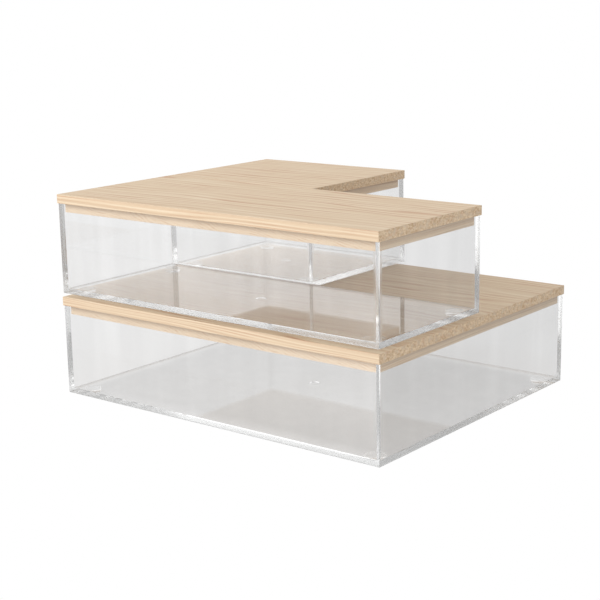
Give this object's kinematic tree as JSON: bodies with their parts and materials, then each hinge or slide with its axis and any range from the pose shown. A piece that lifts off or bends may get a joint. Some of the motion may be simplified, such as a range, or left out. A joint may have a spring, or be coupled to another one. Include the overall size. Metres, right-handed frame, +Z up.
{
  "type": "stacking storage bin set with lids",
  "caption": "Clear rectangular storage bins with wooden lids that stack in two tiers: a large bin carries a medium one along its front and a small one behind it.",
  "frame": {"origin": "on the standing surface, under the middle of the large lid's outline", "axes": "+X to the right along the long front side, +Y from the front to the back, +Z up; the medium bin is at the front and the small bin at the rear left"},
  "size_m": [0.1906, 0.1588, 0.1016],
  "materials": {
    "clear_plastic": "gloss",
    "clear_silicone": "satin",
    "top_board_wood": "matte",
    "locating_board_wood": "matte"
  },
  "bodies": {
    "large_bin": {"large_bin": "clear_plastic", "large_bin_foot_front_left": "clear_silicone", "large_bin_foot_front_right": "clear_silicone", "large_bin_foot_rear_left": "clear_silicone", "large_bin_foot_rear_right": "clear_silicone"},
    "large_lid": {"large_lid_top_board": "top_board_wood", "large_lid_locating_board": "locating_board_wood"},
    "medium_bin": {"medium_bin": "clear_plastic", "medium_bin_foot_front_left": "clear_silicone", "medium_bin_foot_front_right": "clear_silicone", "medium_bin_foot_rear_left": "clear_silicone", "medium_bin_foot_rear_right": "clear_silicone"},
    "medium_lid": {"medium_lid_top_board": "top_board_wood", "medium_lid_locating_board": "locating_board_wood"},
    "small_bin": {"small_bin": "clear_plastic", "small_bin_foot_front_left": "clear_silicone", "small_bin_foot_front_right": "clear_silicone", "small_bin_foot_rear_left": "clear_silicone", "small_bin_foot_rear_right": "clear_silicone"},
    "small_lid": {"small_lid_top_board": "top_board_wood", "small_lid_locating_board": "locating_board_wood"}
  },
  "joints": [
    {"name": "large_lid_lift", "type": "slide", "parent": "large_bin", "child": "large_lid", "axis": [0, 0, 1], "range_m": [0, 0.06]},
    {"name": "medium_bin_lift", "type": "slide", "parent": "large_lid", "child": "medium_bin", "axis": [0, 0, 1], "range_m": [0, 0.06]},
    {"name": "medium_lid_lift", "type": "slide", "parent": "medium_bin", "child": "medium_lid", "axis": [0, 0, 1], "range_m": [0, 0.06]},
    {"name": "small_bin_lift", "type": "slide", "parent": "large_lid", "child": "small_bin", "axis": [0, 0, 1], "range_m": [0, 0.06]},
    {"name": "small_lid_lift", "type": "slide", "parent": "small_bin", "child": "small_lid", "axis": [0, 0, 1], "range_m": [0, 0.06]}
  ]
}
